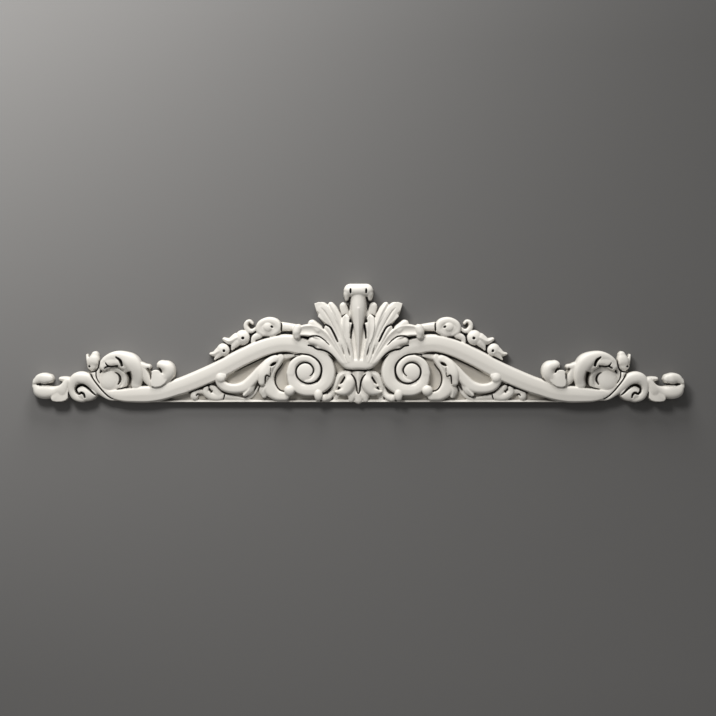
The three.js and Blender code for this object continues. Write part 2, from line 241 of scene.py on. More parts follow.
def grid_sheet(name, sheet):
    """A grid primitive whose rows and columns are laid on the given sheet of points."""
    rows, columns = sheet.shape[:2]
    start_clean()
    bpy.ops.mesh.primitive_grid_add(x_subdivisions=columns - 1, y_subdivisions=rows - 1, size=2)
    form = bpy.context.active_object
    form.name = name
    flat = read_all(form.data.vertices, "co")
    column = np.rint((flat[:, 0] + 1) / 2 * (columns - 1)).astype(int)
    row = np.rint((flat[:, 1] + 1) / 2 * (rows - 1)).astype(int)
    laid = sheet[row, column]
    points = np.column_stack([laid[:, 0], -laid[:, 2], laid[:, 1] - MOUNT_UP]) * MM
    form.data.vertices.foreach_set("co", points.ravel())
    form.data.update()
    return form


def stroke(name, stations, section=FACE):
    form = grid_sheet(name, rows_across(stations, section))
    edit_all()
    press_back()
    casting_forms.append(form)
    return form


print("sheets are laid every", STEP, "mm")

# %% [markdown]
# The ramp is the strong line of the whole ornament: a moulded band with a soft crown near its upper edge, a
# long slope and a thin bead along its lower edge. It rises from the outer scroll, sweeps over the top and
# winds into the volute.

# %% The ramp
RAMP = [
    (475, 66, 4, 19), (479, 52, 4, 19), (477.5, 40, 3.5, 19), (470, 26, 4, 20), (459, 16.5, 6, 21),
    (446, 14, 9, 23), (430.4, 12.9, 11.7, 24), (411, 13.8, 13.8, 24),
    (391.8, 14.9, 15.2, 24), (378, 15.3, 14.3, 24), (364.3, 16.8, 13.3, 24), (350, 21, 14, 24),
    (336.7, 26.3, 15, 24), (318.4, 32.3, 15.6, 24), (263, 56, 16.2, 24), (212, 83, 16.5, 24),
    (171, 101, 16.5, 24), (138, 108, 16.5, 24), (107, 104, 16.5, 24), (82, 93, 15, 24),
]
ramp = stroke("ramp", RAMP, RAMP_FACE)
print("ramp", len(ramp.data.polygons), "faces")

# %% [markdown]
# The volute is a spiral of about one and a half turns. A spiral by formula would open evenly, but a carved
# one doesn't, so its radius and width are given at marked angles, and the batten line runs through them.

# %% The volute
VOLUTE = (99.0, 55.5)
OUTER_TURN = [(114, 41.2, 15), (149, 41.9, 14), (178, 44, 13), (204, 43.7, 12), (227.5, 40, 11),
              (253, 35, 10.5), (282.5, 32.3, 9.5), (314, 28.6, 9), (354, 25.1, 8)]
INNER_TURN = [(354, 25.1, 8), (392.7, 25, 7), (429, 25.2, 6), (461.5, 25, 6), (494, 24.4, 5.5),
              (527, 24.6, 5.5), (559, 23.2, 5.5), (588, 20.9, 5), (620, 17.8, 3.5)]


def turn_stations(turns, crest):
    laid = []
    for angle, radius, half in turns:
        turn = math.radians(angle)
        laid.append((VOLUTE[0] + radius * math.cos(turn), VOLUTE[1] + radius * math.sin(turn), half, crest))
    return laid


stroke("volute_outer", turn_stations(OUTER_TURN, 24), RAMP_FACE)
stroke("volute_inner", turn_stations(INNER_TURN, 24.5), FLAT)
print("volute laid at", len(OUTER_TURN) + len(INNER_TURN), "angles")

# %% [markdown]
# Round swellings, such as the eye of the volute and the heads of the buds, start as a sphere. Its back half
# is cut away, and the open rim is drawn back to the wall.

# %% Domed bosses
RIM = 0.98
ROLL_OF_WIDTH = 0.6
ROLL_OF_CREST = 0.45


def boss(name, out, up, wide, high, crest, roll=None):
    roll = roll or min(wide * ROLL_OF_WIDTH, crest * ROLL_OF_CREST)
    start_clean()
    bpy.ops.mesh.primitive_uv_sphere_add(segments=40, ring_count=20, radius=1, rotation=(math.pi / 2, 0, 0),
                                         location=place(out, up, crest - roll))
    form = bpy.context.active_object
    form.name = name
    form.scale = (wide * MM, high * MM, roll * MM)
    bake_place(form)
    edit_all()
    bpy.ops.mesh.bisect(plane_co=place(out, up, crest - roll * RIM), plane_no=(0, 1, 0), clear_outer=True)
    bpy.ops.mesh.select_all(action="DESELECT")
    bpy.ops.mesh.select_non_manifold()
    bpy.ops.mesh.extrude_region_move()
    grow = 1 + DRAFT / min(wide, high)
    bpy.ops.transform.resize(value=(grow, 0, grow), center_override=place(out, up, -BEHIND))
    bpy.ops.mesh.edge_face_add()
    bpy.ops.object.mode_set(mode="OBJECT")
    casting_forms.append(form)
    return form


boss("volute_disc", 99, 56, 29, 29, 22, 2.5)
eye = boss("volute_eye", 99, 55.5, 16.5, 16.5, 25.5, 3)
print("volute eye", len(eye.data.vertices), "points")

# %% [markdown]
# The outer scroll lies at the end of the ramp: a low disc with a raised ring, and over it a big leaf with
# folded lobes that ends in a round ball.

# %% The outer scroll
stroke("scroll_ring", [(459, 61, 5.5, 22), (443, 61, 6, 22), (430, 52, 6, 22), (428, 40, 6, 21),
                       (432, 30, 5, 19), (444, 25, 2.5, 17)], RIDGE)
boss("scroll_disc", 456, 40.5, 21.5, 22, 21.5, 4)
boss("scroll_eye", 458.5, 40.9, 16.5, 18, 23, 4)
stroke("shoulder", [(408, 33, 9.5, 24), (406.5, 46, 11, 28), (410, 61, 14, 32), (418, 74, 15, 34),
                    (432, 82, 11.5, 33), (447, 84, 9, 32), (461, 77.5, 8, 30), (470, 68, 7, 28)])
stroke("shoulder_fill", [(467, 65, 7, 29), (456, 73, 9, 31), (441, 75, 9, 31.5), (429, 67, 8, 30)])
stroke("shoulder_lobe_a", [(441, 84, 6.5, 30), (444, 76, 6.5, 27), (448, 69, 5, 24)])
stroke("shoulder_lobe_b", [(463, 76, 6, 30), (467, 68, 6.5, 27), (467, 61, 4.5, 24)])
stroke("shoulder_lobe_c", [(424, 75, 8.5, 31), (426, 61, 6.5, 28), (426, 54, 3, 24)])
stroke("shoulder_tip", [(398, 67, 6.5, 25), (391, 65.5, 5, 24), (385, 65.5, 4, 23)])
stroke("fold_outer", [(395, 61, 5.5, 24), (390, 46, 8, 22), (382, 36, 6.5, 20), (375, 32, 4.5, 20)])
stroke("fold_ball", [(373, 34, 8.5, 24), (361, 41, 12.5, 27), (350, 52, 12, 30), (350.5, 63, 12, 31),
                     (361, 68, 9, 30)], ROUND)
print("outer scroll laid,", len(casting_forms), "forms so far")

# %% [markdown]
# The tip of the ornament is an arched stem with a curled end, a forked tail beyond it and a small bud above.

# %% The leaf tip
stroke("bud", [(488.5, 67.5, 9.5, 22), (487.5, 73, 10.8, 24), (485, 82, 8.5, 24), (484, 87.5, 6, 22)])
stroke("bud_tip", [(494, 72, 4.5, 21), (497, 80, 3, 19), (499, 87, 1.5, 17)])
stroke("wedge", [(487, 54, 5.5, 20), (483, 45, 5, 20), (476, 35, 3, 19), (467, 25, 1, 18)], RIDGE)
stroke("arch", [(440, 4.6, 1, 18), (457, 6.5, 2.4, 19), (473, 18, 5, 23), (488, 33, 9, 27),
                (501, 43, 11.5, 30), (515, 44, 11, 30), (524, 35, 9, 28), (526, 23, 6.5, 26),
                (520, 11, 6.5, 25), (508, 6, 5.5, 24), (498, 9, 5, 24)])
boss("arch_curl", 500, 16.5, 20, 14, 26.5, 6)
stroke("leaf_tip", [(530, 40, 5.5, 24), (539, 42, 5, 22), (547, 43, 3.5, 20)], RIDGE)
stroke("tail", [(533, 39, 6, 27), (544, 27, 6, 26), (558, 20.5, 8.5, 25), (573, 19.3, 12.8, 27),
                (586, 21.5, 11.5, 27), (593.5, 29, 5, 25)])
stroke("tail_top", [(594, 37, 3.5, 26), (585, 43, 8.6, 28), (575, 43.6, 9.8, 30), (568, 43.4, 8, 29)])
stroke("tail_close", [(593.5, 41, 3, 25), (595.3, 34.5, 2.8, 24), (594.5, 28, 3, 25)])
stroke("tail_fin", [(535, 38, 4.5, 27), (539.5, 29, 7.5, 27), (544.5, 19.5, 11.8, 26), (548.5, 13, 12.4, 24)])
stroke("tail_fin_tip", [(549, 16, 9, 24.5), (558, 8, 6.5, 24)], FLAT)
print("leaf tip laid,", len(casting_forms), "forms so far")

# %% [markdown]
# A rolled leaf with a small hook and two buds lie on the upper edge of the ramp. Each bud is a round head
# with a pointed beak and a drilled eye.

# %% The leafwork on the ramp
stroke("rod", [(140, 139, 8, 17), (124, 138, 6.5, 17), (108, 136, 5.5, 17)])
stroke("roll", [(173, 126, 5, 23), (182, 132, 6, 23), (180, 143, 6, 24), (166, 150, 6, 25), (152, 146, 7, 25),
                (148, 135, 7, 24), (158, 127, 6, 23), (170, 126, 5, 22)])
boss("roll_body", 166, 137.5, 22, 16, 24, 4)
boss("roll_knob", 166, 138.5, 8.5, 8.5, 26.2, 3)
stroke("hook", [(187, 136, 3, 18), (195, 131, 3.5, 18), (202, 132, 4.5, 19), (207, 141, 4, 19),
                (204, 148, 3, 19), (199, 149, 2.5, 18), (195, 145, 2, 18)])
stroke("roll_tip", [(182, 123, 6.5, 22), (191, 118, 5.5, 21), (194, 111, 3.5, 20)])
boss("bud_head_a", 213, 118.5, 13.5, 14, 24)
stroke("bud_beak_a", [(224, 118, 9, 23), (237, 112, 6, 21), (247, 116, 3, 18)], RIDGE)
stroke("bud_chin_a", [(222, 111, 7.5, 22), (229, 103, 5, 20), (232, 97, 2, 18)])
boss("bud_head_b", 248.5, 96, 12, 12, 23)
stroke("bud_beak_b", [(256, 94, 7.5, 22), (265, 89, 4.5, 20), (272, 89, 2, 18)], RIDGE)
stroke("bud_chin_b", [(254, 89, 6.5, 21), (260, 83, 3.5, 19), (264, 79, 1.5, 18)])
print("leafwork on the ramp laid,", len(casting_forms), "forms so far")

# %% [markdown]
# Under the ramp, scooped leaves fill the space from the volute out to a small curl. A scooped leaf has a
# hollow down its middle and a soft rim on both sides, which catches the light.

# %% The leaves under the ramp
stroke("stem_cap", [(138, 83, 5.5, 17), (126, 85, 4, 17), (110, 87, 1, 16)])
stroke("long_leaf", [(149, 82, 5, 19), (164, 75, 6.5, 21), (178, 61, 8, 22), (193, 43, 9.5, 22),
                     (209, 29, 10, 22), (228, 25, 8.5, 22), (246, 29, 8.5, 22), (255, 39, 7.5, 23),
                     (254, 47, 7, 25), (247, 48, 5, 24)], FLAT)
boss("long_leaf_head", 253, 44.5, 8.5, 8, 26, 4)
stroke("long_leaf_foot", [(194, 39, 6.5, 20), (201, 23, 7.5, 22), (209, 14, 3.5, 21)], RIDGE)
stroke("hood_leaf", [(154, 79, 8.5, 24), (165, 67, 12.5, 26), (174, 51, 11.5, 27), (177, 37, 6.5, 25)])
stroke("hood_tooth", [(164, 60, 6, 25), (163.5, 49, 3.2, 24)])
stroke("down_leaf", [(143, 82, 7, 21), (152, 70, 8.5, 21), (161.5, 55, 9, 21), (165, 40, 11, 20),
                     (161, 24, 13, 20), (149, 13.5, 10.5, 20), (135, 11, 8, 23)], FLAT)
stroke("down_leaf_foot", [(164, 34, 8, 20), (174, 21, 8.5, 20), (173, 12, 4.5, 18)], RIDGE)
boss("down_leaf_ball", 126.5, 21.5, 9.5, 9.5, 28)
stroke("low_stem", [(245, 10, 5.5, 14), (226, 8, 3.5, 13), (209, 6, 2.5, 13), (198, 11, 3.5, 13),
                    (189, 20, 2.5, 12), (184, 29, 1.5, 12)])
stroke("small_leaf", [(251, 11, 7, 16), (262, 9.5, 7.5, 16), (273.5, 12.5, 7, 17), (281, 19.5, 6, 18),
                      (279.5, 26, 4.5, 18)])
stroke("small_leaf_top", [(257, 15, 7.5, 16), (264, 23, 7, 16), (270, 28, 4, 16)])
stroke("small_curl", [(284, 19, 4.5, 15), (292, 20, 4.5, 16), (299, 17.5, 5.5, 17)])
boss("small_ball", 301.5, 12.3, 7.4, 8.6, 17.5, 4)
stroke("sickle", [(42, 49, 2, 14), (45, 33, 3, 14), (49, 19, 4, 15), (54, 11, 6, 18), (62, 8, 7, 22)])
boss("sickle_knob", 73.5, 13.5, 7.5, 10.5, 27)
print("leaves under the ramp laid,", len(casting_forms), "forms so far")

# %% [markdown]
# Under the cup hangs a small pendant: two facing leaves with a pointed tongue between them.

# %% The pendant
stroke("pendant_outer", [(22, 54, 5, 19), (32, 49, 6.5, 20), (38, 39, 6, 19), (43, 25, 5, 17),
                         (46, 13, 3, 14)], RIDGE)
stroke("pendant_face", [(18, 51, 7, 22), (16, 41, 9.5, 25), (18, 31, 11.5, 25), (24, 22, 9.5, 24),
                        (34, 19, 5, 22), (41, 19, 2, 19)])
stroke("pendant_lobe", [(25, 31, 6, 22), (32, 30, 3.5, 20), (35, 30, 1.5, 18)])
stroke("pendant_foot", [(11, 35, 6, 20), (11, 22, 8, 18), (12, 10, 8, 18), (13, 5, 5, 17)])
stroke("pendant_side", [(38, 13, 4.5, 12), (42, 7, 5, 12), (41, 3, 2.5, 12)])
stroke("pendant_tongue", [(0, 54, 12, 23), (0, 48, 7.8, 23), (0, 39.3, 3.6, 22), (0, 25.5, 1.9, 21),
                          (0, 17, 1.2, 19)], RIDGE)
stroke("pendant_drop", [(0, 14, 8, 18), (0, 5, 8, 17)])
print("pendant laid,", len(casting_forms), "forms so far")

# %% [markdown]
# The palmette rises from a low cup: long lobes that spread like a fan, and between them a tall stem that
# rolls over at its top. The lobes start narrow and low in the cup and swell towards their tips, so they are
# laid from the outside in, and each one stands a little over its outer neighbour.

# %% The palmette
stroke("lobe_1", [(23, 152, 6.5, 23), (25.5, 166, 8.3, 25), (27.5, 177, 6.5, 26)])
stroke("lobe_2", [(10, 74, 2, 27), (13, 90, 3, 28), (18, 110, 4.5, 30), (21.6, 124, 6.3, 31),
                  (23, 140, 7.8, 32), (22.6, 153, 7, 31)], SCOOP)
stroke("lobe_2_tooth", [(18, 133, 4.5, 30), (13.5, 144, 2, 30)])
stroke("lobe_3", [(14, 74, 2, 27), (19, 92, 3, 27), (24, 108, 4, 28), (29, 125, 5.5, 29), (34, 143, 7.5, 30),
                  (41, 161, 7.5, 31), (47, 173, 6.5, 31), (50.5, 179, 5, 30)], RIDGE)
stroke("lobe_4", [(18, 74, 2, 27), (25, 92, 3.5, 27), (31, 108, 5.5, 28), (38, 124, 8, 28), (46, 141, 10, 29),
                  (56, 157, 13, 30.6), (62.5, 167, 13, 31), (67, 173, 11, 31)], FLAT)
stroke("lobe_5", [(22, 72, 2, 27), (28, 84, 3, 27), (36, 99, 4.5, 28), (43.5, 113, 6, 29), (50, 126, 7, 30),
                  (56, 136, 6.5, 30)], RIDGE)
stroke("lobe_6", [(26, 72, 2, 27), (33, 83, 3.5, 27), (44, 97, 6, 28), (55, 111, 9, 29), (66, 122, 11, 30),
                  (80, 130, 12, 31), (94, 132, 11, 31), (106, 131, 9, 31)], SCOOP)
stroke("lobe_6_tooth", [(74, 134, 9, 30), (85, 144, 7.5, 30)])
stroke("lobe_6_curl", [(111, 136, 7.5, 34), (113, 128, 7.5, 34), (112.5, 122, 6.5, 32)], ROUND)
stroke("lobe_7", [(26, 70, 3, 26), (35, 79, 5, 27), (45, 90, 7.5, 28), (56, 101, 9.5, 29), (67, 108, 9.8, 30),
                  (77, 112, 8, 29.5), (85, 113, 6.8, 29)])
stroke("lobe_7_tooth", [(61, 101, 6, 28), (72, 101, 4.5, 28)])
stroke("stem", [(0, 78, 2.2, 27), (0, 101, 4, 28), (0, 127, 6.8, 31), (0, 139.9, 9, 33),
                (0, 152.7, 11.2, 35), (0, 165.6, 13, 37), (0, 178.5, 13.8, 38), (0, 198, 14.4, 38)], ROUND)
stroke("stem_rib", [(0, 84, 1.6, 28), (0, 110, 2.4, 31), (0, 140, 3.4, 34.5), (0, 172, 4, 38.6)], ROUND)
stroke("curl", [(-15, 205.5, 11.6, 40), (0, 205.5, 11.6, 41), (15, 205.5, 11.6, 40)], ROUND)
stroke("curl_ear", [(16.5, 205, 9.4, 38), (20.5, 198, 6.5, 37), (21, 189.5, 3, 33)], ROUND)
stroke("bowl", [(-18, 70.5, 10, 26.4), (0, 70, 10, 27), (18, 70.5, 10, 26.4), (30, 76.5, 7, 25.5)], FLAT)
print("palmette laid,", len(casting_forms), "forms so far")

# %% [markdown]
# Behind the carving there is a thin plate under the ramps, and low beds that tie the free leaves to it. An
# outline like this starts as a filled circle with as many corners as the outline has. The corners are moved
# to their places, and the face is extruded back.

# %% The plate and the beds
PLATE_HALF = 382.0
PLATE_DEPTH = 9.0


def bed(name, outline, depth=None):
    """A solid over an outline. A corner with a third number has its own depth."""
    start_clean()
    bpy.ops.mesh.primitive_circle_add(vertices=len(outline), radius=1, fill_type="NGON")
    form = bpy.context.active_object
    form.name = name
    for point, marks in zip(form.data.vertices, outline):
        point.co = place(*marks) if len(marks) == 3 else place(*marks, depth)
    edit_all()
    press_back()
    casting_forms.append(form)
    return form


under_ramp = [(out, up) for out, up, half, crest in RAMP if out < PLATE_HALF]
bed("plate", [(-6, 0), (PLATE_HALF, 0), (PLATE_HALF, 10), *under_ramp, (30, 104), (-6, 104)], PLATE_DEPTH)
bed("plate_lip", [(-6, 0.3, 15), (PLATE_HALF, 0.3, 15), (PLATE_HALF, 4.8, 11), (-6, 4.8, 11)])
bed("tail_fin_face", [(534, 36), (532.8, 24), (532.8, 8), (537, 3.5), (545, 1.4), (553, 1), (560.5, 2.4),
                      (563.5, 6), (562.5, 10.5), (557, 17), (549, 24), (542, 32)], 24.4)
bed("fold_leaf", [(379.4, 56.5), (375.7, 58.9), (369.9, 59.8), (364.2, 57.6), (360.5, 53.3), (353, 46),
                  (351, 40), (355, 34.5), (362.7, 29.3), (372.5, 27.6), (379.5, 30), (381, 37),
                  (379, 45)], 28)
bed("stem_fill", [(-6, 112), (-6, 196), (14, 196), (17, 162), (15, 118)], 22)
bed("bowl_face", [(-6, 66, 26.6), (16, 66, 26.6), (30, 71, 26), (40, 80, 24.6), (46, 90, 22), (30, 96, 21.8),
                  (-6, 96, 21.8)])
bed("lobe_4_face", [(81, 181), (72, 184), (64, 182), (55.5, 175), (47.5, 163.5), (40, 149), (30, 128, 25),
                    (34, 120, 24), (49, 140.5, 28), (58, 144.5), (66.5, 150), (74.5, 157.5), (71, 163),
                    (76.5, 167.5), (79, 174)], 30.3)
bed("cup", [(-6, 61), (15, 61), (25.7, 63), (31.4, 67.7), (43, 81), (54, 92), (65, 97.7), (60, 106),
            (37, 111.5), (14, 116.7), (-6, 118)], 22)
bed("scroll_bed", [(395, 20), (400, 62), (412, 82), (435, 90), (458, 86), (476, 68), (480, 42), (470, 24),
                   (450, 12)], 9)
bed("tip_bed", [(486, 24), (482, 48), (492, 62), (500, 52), (520, 52), (534, 40), (530, 18), (518, 6),
                (500, 4), (488, 8)], 9)
bed("roll_bed_low", [(140, 134), (148, 146), (168, 152), (184, 144), (186, 128), (170, 122), (152, 124)], 9)
bed("bud_bed", [(204, 104), (212, 130), (232, 112), (252, 107), (262, 84), (250, 72)], 9)
bed("palmette_bed", [(-6, 100), (-6, 190), (12, 190), (28, 172), (40, 150), (50, 150), (44, 126), (58, 122),
                     (90, 140), (110, 136), (108, 120), (80, 112), (50, 84)], 9)
bed("fold_bed", [(340, 44), (345, 66), (362, 72), (372, 44), (386, 62), (404, 60), (404, 20), (360, 20)], 9)
print("plate and beds laid,", len(casting_forms), "forms in one half")

# %% [markdown]
# The real casting is one skin. All forms of one half are joined, and a voxel remesh melts them into a
# single closed surface, as silicone and resin do in the mould. Only after that are the eyes and slits cut
# out, because a boolean needs one clean skin to work on.

# %% Melt the forms into one skin
VOXEL = 0.72 * MM


def apply_modifier(form, kind, **values):
    select_only(form)
    modifier = form.modifiers.new(kind.title(), kind)
    for key, value in values.items():
        setattr(modifier, key, value)
    bpy.ops.object.modifier_apply(modifier=modifier.name)


def join_forms(forms, name):
    start_clean()
    for form in forms:
        form.select_set(True)
    bpy.context.view_layer.objects.active = forms[0]
    bpy.ops.object.join()
    joined = bpy.context.active_object
    joined.name = name
    return joined


half = join_forms(casting_forms, "casting")
apply_modifier(half, "REMESH", mode="VOXEL", voxel_size=VOXEL)
print("one skin with", len(half.data.polygons), "faces")

# %% [markdown]
# The drilled eyes, the slits beside the curl and the dark hooks in the rolled leaves are cut with small
# V-shaped tools. Each cutter is laid like a stroke, but its sheet is a valley and it is extruded forward,
# out of the casting.

# %% The cutting tools
CUT_RISE = 24.0
CUT_STEP = 1.5
FLOOR_HALF = 0.75
PAST_FRONT = 80
PIT_FLOOR = 0.35
PIT_MOUTH = 1.35
cutters = []


def v_cut(name, stations, slope):
    """Each station is out, up and the depth of the valley's floor. A high slope gives a narrow slot."""
    line = batten([(out, up, 1, floor) for out, up, floor in stations], CUT_STEP)
    runs = unit_runs(line)
    sides = np.column_stack([-runs[:, 1], runs[:, 0]])
    rise = CUT_RISE / slope
    across = [(-FLOOR_HALF - rise, 1), (-FLOOR_HALF - rise / 2, 0.5), (-FLOOR_HALF, 0), (FLOOR_HALF, 0),
              (FLOOR_HALF + rise / 2, 0.5), (FLOOR_HALF + rise, 1)]
    sheet = np.array([[(*(row[:2] + side * aside), row[3] + CUT_RISE * up) for aside, up in across]
                      for row, side in zip(line, sides)])
    form = grid_sheet(name, sheet)
    edit_all()
    press_back(PAST_FRONT)
    cutters.append(form)


def drill(name, out, up, wide, high, turn, floor, crest):
    """A tapered pit with the given half sizes, turned by some degrees, from its floor to its crest."""
    start_clean()
    middle = place(out, up, (floor + crest) / 2)
    bpy.ops.mesh.primitive_cone_add(vertices=24, radius1=PIT_FLOOR, radius2=PIT_MOUTH, depth=1,
                                    rotation=(math.pi / 2, 0, 0), location=middle)
    form = bpy.context.active_object
    form.name = name
    form.scale = (wide * MM, high * MM, (crest - floor) * MM)
    bake_place(form)
    edit_all()
    bpy.ops.transform.rotate(value=math.radians(turn), orient_axis="Y",
                             center_override=place(out, up, crest))
    bpy.ops.object.mode_set(mode="OBJECT")
    cutters.append(form)


print("the tools rise", CUT_RISE, "mm above their floors")

# %% [markdown]
# Eight eyes are drilled: in the buds, the rolled leaf, the hood, the pendant, the small leaf and beside the
# top curl. A cone gives each a pit that narrows towards its floor, so it reads dark.

# %% Drill the eyes
drill("eye_bud", 493.7, 65.9, 2.4, 2.4, 0, 8, 28)
drill("eye_bud_a", 211.9, 117.7, 2.9, 2.6, 0, 8, 29)
drill("eye_bud_b", 246.7, 94.4, 2.4, 2.8, 0, 8, 28)
drill("eye_roll", 158.4, 138.4, 2.8, 2.0, 30, 12, 28)
drill("eye_hood", 155.9, 70.1, 2.9, 6.8, 60, 8, 29)
drill("eye_pendant", 25.2, 45, 1.7, 3.6, 0, 8, 30)
drill("eye_small_leaf", 269.8, 19.6, 1.7, 3.6, 35, 7, 20)
drill("slit_curl", 14.3, 203.6, 1.7, 4.6, 0, 10, 46)
print(len(cutters), "drilled eyes")

# %% [markdown]
# The dark lines of the carving are deep and narrow cuts between one form and the next. Each line in the
# table has a slope and then its stations: out, up and the depth of the floor.

# %% Lay the dark lines
DARK_LINES = {
    "spiral": (11, [(89.5, 47.3, 23), (84, 52.9, 17), (82.2, 58.7, 14), (84, 64.5, 13), (89.1, 70.4, 12),
                   (97.8, 72.9, 12), (106.5, 70.2, 12), (113.2, 62.5, 12), (114.4, 54, 12), (112, 46, 12),
                   (107.2, 40.6, 12), (99.9, 36.2, 12), (91.2, 34.4, 11), (80.3, 37, 10), (72.4, 44.2, 9),
                   (68, 54.4, 9), (68, 64.5, 9), (72.4, 74, 10), (79.6, 81.2, 12), (89, 86.3, 13),
                   (98.5, 88.1, 13), (108, 88.8, 12), (118, 86.5, 11)]),
    "arch_hook": (8, [(479.8, 11.2, 20), (487.1, 17.6, 14), (494.3, 24.8, 11), (501.6, 30.2, 9),
                      (508.8, 32.1, 8), (515.2, 30.2, 8), (517.9, 24.8, 8), (516.4, 18.5, 9),
                      (512.4, 15.2, 11), (507.9, 17.6, 12), (503.4, 14.8, 12), (501.2, 7.6, 18)]),
    "stem_line": (13, [(493.4, 55.5, 14), (487.1, 43.8, 12), (478, 31.2, 11), (469, 20.3, 12),
                      (458.1, 10.3, 13), (447.2, 4.9, 19)]),
    "wedge_line": (14, [(481.6, 60, 12), (481, 46, 13), (474.5, 34, 18)]),
    "bud_line": (13, [(474.4, 80, 9), (476.6, 66, 9), (481.6, 57.8, 9), (490, 55.6, 10), (497, 56.5, 12)]),
    "shoulder_crescent": (8, [(444.5, 83.5, 26), (436.3, 76.5, 13), (432.7, 65.6, 15)]),
    "lobe_underside": (16, [(463.5, 73, 26), (459, 67, 14), (453, 65.6, 15), (446, 66.5, 16), (440, 67, 14)]),
    "lobe_tongue": (16, [(466, 62, 20), (459, 66, 15)]),
    "scroll_hole": (3.5, [(423, 56, 8), (419.5, 43, 6), (421.4, 31.5, 8)]),
    "disc_crescent": (5, [(450.5, 55.5, 21), (442.7, 53, 15), (438.2, 47.5, 11), (437.2, 40.2, 10),
                            (441.5, 32, 17)]),
    "ring_foot": (12, [(446, 23.5, 19), (434.5, 25.2, 13), (423.7, 28.5, 10), (415, 27, 12)]),
    "ball_spiral": (7, [(376, 62, 14), (370.5, 61.8, 12), (364.5, 61.2, 13), (360.5, 54.5, 19)]),
    "fold_line": (5, [(388, 62.5, 14), (384, 57, 9), (381, 50, 15)]),
    "rod_end": (12, [(142, 149, 10), (141, 140, 9), (142, 131, 9)]),
    "lobe_slit": (13, [(61, 143, 16), (52, 138, 14), (45.5, 127.5, 12), (40.5, 117, 11), (37.2, 110, 20)]),
    "lobe_4_vein": (1.2, [(72, 177, 31.2), (62, 166, 29.4), (52, 150, 28.6), (42, 132, 27.4),
                         (35, 117, 27.2)]),
    "stem_slit": (8, [(14.6, 152, 16), (14.3, 146.5, 12)]),
    "stem_slit_low": (10, [(10.4, 143, 14), (12.8, 130, 12), (14, 116.5, 18)]),
    "flute_a": (3, [(5.6, 112, 27), (4.2, 99, 24), (3.8, 84, 28)]),
    "flute_b": (3, [(21.5, 108, 28), (17, 91, 24.2), (13.5, 78.3, 28)]),
    "flute_c": (3, [(31, 105, 27), (27, 91, 24.2), (23.7, 80, 28)]),
    "lobe_7_edge": (11, [(93, 119, 19), (83, 121.5, 20), (72, 120.5, 21), (62, 113.8, 23), (52, 103.5, 27)]),
    "cup_contour": (12, [(93, 104.5, 14), (84, 103, 13), (77, 98, 13), (66, 96, 13), (56, 92, 13),
                        (47.5, 85, 12), (41, 77.5, 11), (34, 67.5, 10), (25, 60.5, 10), (12, 58.6, 11),
                        (-4, 58.6, 11)]),
    "pendant_fold": (9, [(26.5, 39.5, 20), (31, 35.5, 17), (36, 31.5, 19)]),
    "pendant_lip": (9, [(41, 27.5, 15), (35.5, 25.6, 16), (30.5, 25.2, 21)]),
    "tongue_side": (10, [(13.5, 52, 17), (9, 47, 13), (5.2, 38, 12), (3, 27, 12), (1, 16.5, 14),
                        (-2, 15, 15)]),
    "small_hook": (9, [(291, 14, 8), (295.5, 15, 10), (298, 11, 14)]),
    "down_edge": (13, [(135.5, 79, 12), (142.7, 66, 6), (150, 56, 5), (153.4, 44, 5), (151.3, 32, 5),
                      (144.5, 22.5, 5), (136, 19.5, 8)]),
    "hood_edge": (7, [(160.5, 64, 24), (162.6, 47, 19), (168.5, 49.5, 19), (171.5, 33, 18)]),
    "lobe_1_crease": (12, [(16, 163.5, 24), (24, 161.5, 23), (31, 156, 20)]),
    "small_leaf_end": (12, [(245.6, 16, 12), (246.6, 10, 9), (249, 4.5, 11)]),
}
for name, (slope, stations) in DARK_LINES.items():
    v_cut(name, stations, slope)
print(len(DARK_LINES), "dark lines")

# %% [markdown]
# A shadow also runs under the lower edge of the ramp. Its cut follows the ramp's own stations, moved aside
# by the ramp's half width, so the two stay together. The floor rises to the plate at the outer end.

# %% Undercut the ramp
EDGE_STEP = 10
RUN_IN = 20
RUN_OUT = 40
ABOVE_PLATE = 0.5
RAMP_GAP = 0.6
RAMP_FLOOR = 4.5
RAMP_SLOPE = 14


def lower_edge(stations, first, last, gap, floor):
    """Stations for a cut that runs along the lower edge of a stroke, from one place out to another."""
    line = batten(stations, EDGE_STEP)
    runs = np.gradient(line[:, :2], axis=0)
    runs /= np.linalg.norm(runs, axis=1)[:, None]
    beside = line[:, :2] + np.column_stack([-runs[:, 1], runs[:, 0]]) * (line[:, 2:3] + gap)
    starts = [last, last + RUN_IN, first - RUN_OUT, first]
    floors = [floor, floor, floor, PLATE_DEPTH + ABOVE_PLATE]
    return [(out, up, np.interp(out, starts, floors)) for out, up in beside if last < out < first]


v_cut("ramp_foot_outer", lower_edge(RAMP, 322, 266, RAMP_GAP, RAMP_FLOOR), RAMP_SLOPE)
v_cut("ramp_foot", lower_edge(RAMP, 236, 120, RAMP_GAP, RAMP_FLOOR), RAMP_SLOPE)
print("the ramp is undercut,", len(cutters), "cutters in all")

# %% [markdown]
# The cutters cross each other, so they too are melted to one clean skin. One boolean then takes them all out
# of the casting, which is quicker and safer than one boolean for each.

# %% Cut
CUTTER_VOXEL = 0.5 * MM
cutter = join_forms(cutters, "cutters")
apply_modifier(cutter, "REMESH", mode="VOXEL", voxel_size=CUTTER_VOXEL)
apply_modifier(half, "BOOLEAN", operation="DIFFERENCE", object=cutter, solver="MANIFOLD")
select_only(cutter)
bpy.ops.object.delete()
print("after the cuts", len(half.data.polygons), "faces")

